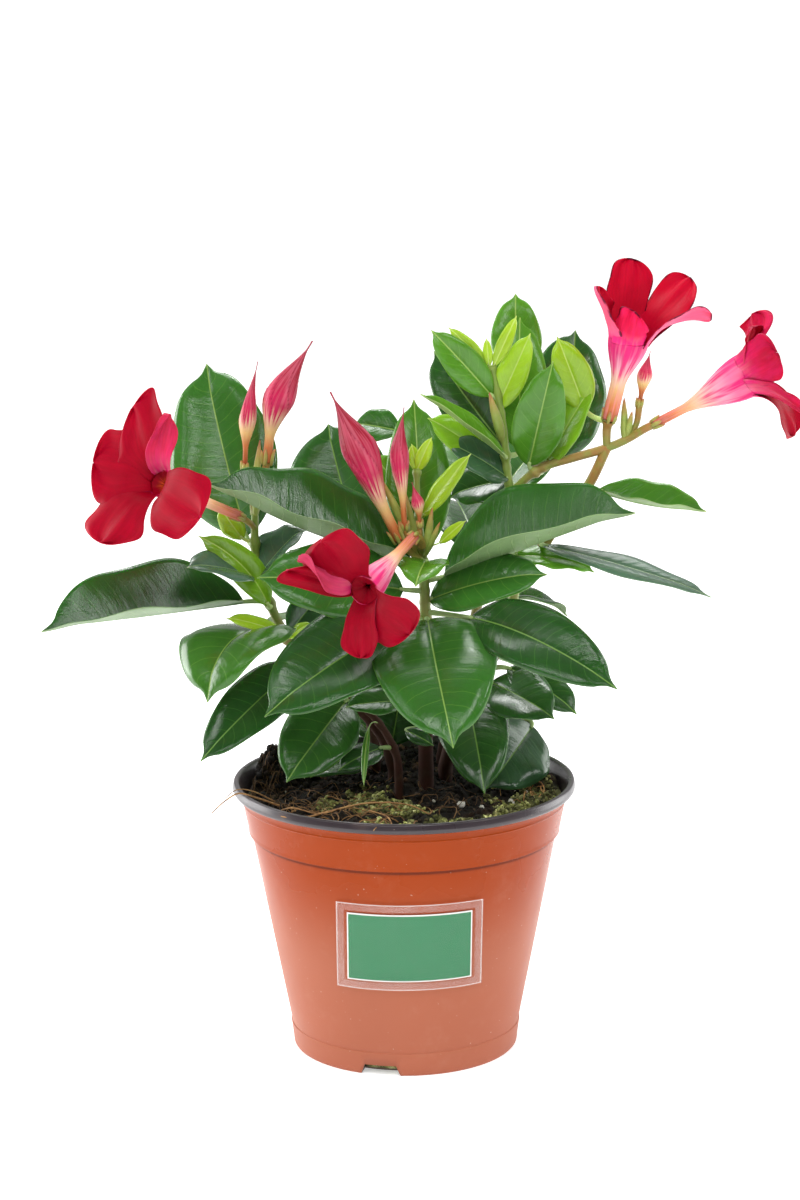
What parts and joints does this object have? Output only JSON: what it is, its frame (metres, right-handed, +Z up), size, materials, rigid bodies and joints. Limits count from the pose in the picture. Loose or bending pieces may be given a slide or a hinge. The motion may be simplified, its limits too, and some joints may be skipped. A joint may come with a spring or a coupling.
{
  "type": "potted mandevilla plant",
  "caption": "Young mandevilla in a tapered nursery pot with a lip and plain label: glossy leaves, red trumpet blooms and furled buds.",
  "frame": {"origin": "centre of the pot's underside", "axes": "+Z up along the pot's axis; -Y towards the label on the pot's wall; +X to the right of someone who reads the label"},
  "size_m": [0.3037, 0.1814, 0.3231],
  "materials": {
    "pot_plastic": "satin to glossy terracotta-coloured plastic, dark grey-violet lip and inside",
    "soil": "matte, dark peat compost with fibres and moss",
    "label_card": "plain green card with a thin white border",
    "label_film": "clear glossy film",
    "leaf": "waxy, smooth and glossy above, paler and duller below",
    "bud": "satin petal skin, crimson above and cream at the foot",
    "petal": "velvety, soft sheen, pink and white in the throat"
  },
  "bodies": {
    "root": {"pot": "pot_plastic", "soil": "soil", "label_card": "label_card", "label_film": "label_film", "shoot_left": "leaf", "shoot_centre": "leaf", "shoot_right": "leaf", "shoot_low": "leaf", "shoot_back_left": "leaf", "shoot_back_right": "leaf", "bud_left_slim": "bud", "bud_left_full": "bud", "bud_centre_full": "bud", "bud_centre_slim": "bud", "bud_centre_short": "bud", "bud_right_young": "bud", "bloom_left": "petal", "bloom_front": "petal", "bloom_top": "petal", "bloom_right": "petal"}
  },
  "joints": []
}
